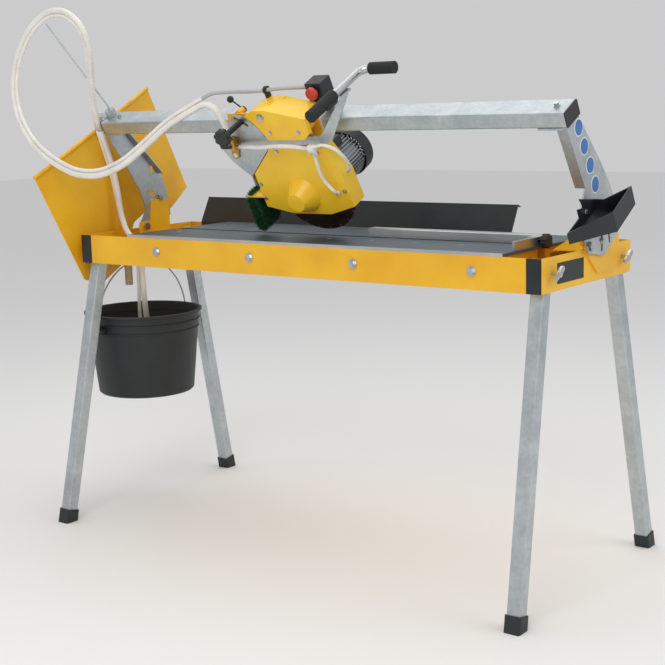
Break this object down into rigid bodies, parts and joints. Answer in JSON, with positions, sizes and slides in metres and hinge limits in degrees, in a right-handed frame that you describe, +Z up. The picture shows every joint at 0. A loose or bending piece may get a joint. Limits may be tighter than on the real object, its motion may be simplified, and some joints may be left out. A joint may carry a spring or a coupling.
{
  "type": "masonry saw",
  "caption": "Bench saw for stone: a water tray on splayed legs, a tilting rail, and a sliding head with a guarded blade and a hung bucket.",
  "frame": {"origin": "on the floor, under the middle of the whole machine; the tray's middle is 49 mm to the left of it and 15 mm in front of it", "axes": "+X to the operator's right along the rail, +Y to the back, +Z up; front face of the tray looks along -Y"},
  "size_m": [2.0031, 0.8805, 1.6788],
  "materials": {
    "yellow_paint": "semi-gloss powder coat",
    "black_paint": "satin",
    "zinc_plate": "galvanised",
    "aluminium": "satin",
    "table_grey": "satin",
    "black_plastic": "satin",
    "nylon_pad": "matt",
    "handle_paint": "satin",
    "grip_rubber": "matt",
    "red_plastic": "gloss",
    "green_plastic": "gloss",
    "brass": "satin",
    "green_bristle": "matt",
    "hose_white": "satin",
    "pipe_clear": "satin",
    "blade_steel": "satin"
  },
  "bodies": {
    "stand": {"water_tray": "yellow_paint", "tray_frame": "yellow_paint", "legs": "zinc_plate", "leg_feet": "black_plastic", "wing_screws": "zinc_plate", "frame_fasteners": "zinc_plate", "corner_straps": "black_paint", "table_plate_front": "table_grey", "table_plate_back": "table_grey", "table_edge": "aluminium", "fence": "aluminium", "splash_panel": "black_paint", "tilt_bracket_left": "yellow_paint", "tilt_bracket_right": "yellow_paint", "tilt_bolts": "zinc_plate", "rating_plate": "black_paint", "drain_pipe": "pipe_clear", "bucket_hook": "zinc_plate", "pump_lines": "hose_white", "feed_drop": "hose_white"},
    "bridge": {"rail": "zinc_plate", "rail_caps": "black_plastic", "support_left": "zinc_plate", "support_right": "zinc_plate", "side_bin": "black_paint", "bridge_bolts": "zinc_plate", "splash_guard": "yellow_paint", "guard_bracket": "zinc_plate", "hose_mast": "zinc_plate", "feed_loop": "hose_white"},
    "carriage": {"carriage_sleeve": "yellow_paint", "slide_pads": "nylon_pad", "carrier_plate": "yellow_paint", "hood": "yellow_paint", "carriage_bolts": "zinc_plate", "switch_box": "black_plastic", "water_valve": "brass", "cable_clamp": "black_plastic", "switch_cable": "hose_white"},
    "head": {"swing_arm": "zinc_plate", "motor_housing": "aluminium", "motor_caps": "black_plastic", "blade_cover": "yellow_paint", "cover_bolts": "zinc_plate", "handle_bar": "handle_paint", "hand_grips": "grip_rubber", "splash_mat": "green_bristle", "spray_hoses": "hose_white"},
    "blade_set": {"blade": "blade_steel", "blade_spindle": "zinc_plate"},
    "stop_plate": {"end_stop": "aluminium"},
    "stop_knob": {"end_stop_knob": "black_plastic"},
    "plunge_clamp": {"plunge_knob": "black_plastic"},
    "latch": {"latch_lever": "black_plastic"},
    "valve_handle": {"valve_lever": "black_plastic"},
    "stop_switch": {"stop_button": "red_plastic"},
    "start_switch": {"start_button": "green_plastic"},
    "bail": {"bucket_bail": "zinc_plate"},
    "bucket_set": {"bucket": "black_plastic", "water_pump": "black_plastic"}
  },
  "joints": [
    {"name": "bridge_tilt", "type": "hinge", "parent": "stand", "child": "bridge", "pos_m": [0.049, -0.011, 0.96], "axis": [1, 0, 0], "range_deg": [-28.2, 16.8], "deforming": ["feed_drop"]},
    {"name": "carriage_slide", "type": "slide", "parent": "bridge", "child": "carriage", "axis": [1, 0, 0], "range_m": [-0.46, 0.46], "deforming": ["feed_loop"]},
    {"name": "head_plunge", "type": "hinge", "parent": "carriage", "child": "head", "pos_m": [-0.158, -0.1918, 1.21254], "axis": [0, -0.8813, -0.4726], "range_deg": [-8, 1.5], "deforming": ["spray_hoses"]},
    {"name": "blade_spin", "type": "hinge", "parent": "head", "child": "blade_set", "pos_m": [0.051, -0.09228, 1.11158], "axis": [0, -0.8813, -0.4726], "continuous": true},
    {"name": "plunge_knob_turn", "type": "hinge", "parent": "carriage", "child": "plunge_clamp", "pos_m": [-0.08805, -0.33195, 1.26441], "axis": [0, -0.8813, -0.4726], "continuous": true},
    {"name": "latch_turn", "type": "hinge", "parent": "carriage", "child": "latch", "pos_m": [-0.101, -0.2215, 1.34412], "axis": [0, -0.8813, -0.4726], "range_deg": [-20, 35]},
    {"name": "valve_turn", "type": "hinge", "parent": "carriage", "child": "valve_handle", "pos_m": [-0.134, -0.25149, 1.23499], "axis": [0, -0.8813, -0.4726], "range_deg": [0, 90]},
    {"name": "stop_press", "type": "slide", "parent": "carriage", "child": "stop_switch", "axis": [0, 0.8813, 0.4726], "range_m": [0, 0.005], "stiffness_N_per_m": 800},
    {"name": "start_press", "type": "slide", "parent": "carriage", "child": "start_switch", "axis": [-1, 0, 0], "range_m": [0, 0.003], "stiffness_N_per_m": 600},
    {"name": "end_stop_slide", "type": "slide", "parent": "stand", "child": "stop_plate", "axis": [0, 1, 0], "range_m": [-0.018, 0.018]},
    {"name": "end_stop_knob_turn", "type": "hinge", "parent": "stand", "child": "stop_knob", "pos_m": [0.797, -0.029, 0.971], "axis": [1, 0, 0], "continuous": true},
    {"name": "bail_swing", "type": "hinge", "parent": "stand", "child": "bail", "pos_m": [-0.793, 0.003, 0.841], "axis": [0, 1, 0], "range_deg": [-6, 6], "deforming": ["pump_lines"]},
    {"name": "bucket_swing", "type": "hinge", "parent": "bail", "child": "bucket_set", "pos_m": [-0.793, 0.003, 0.619], "axis": [0, 1, 0], "range_deg": [-8, 8]}
  ]
}
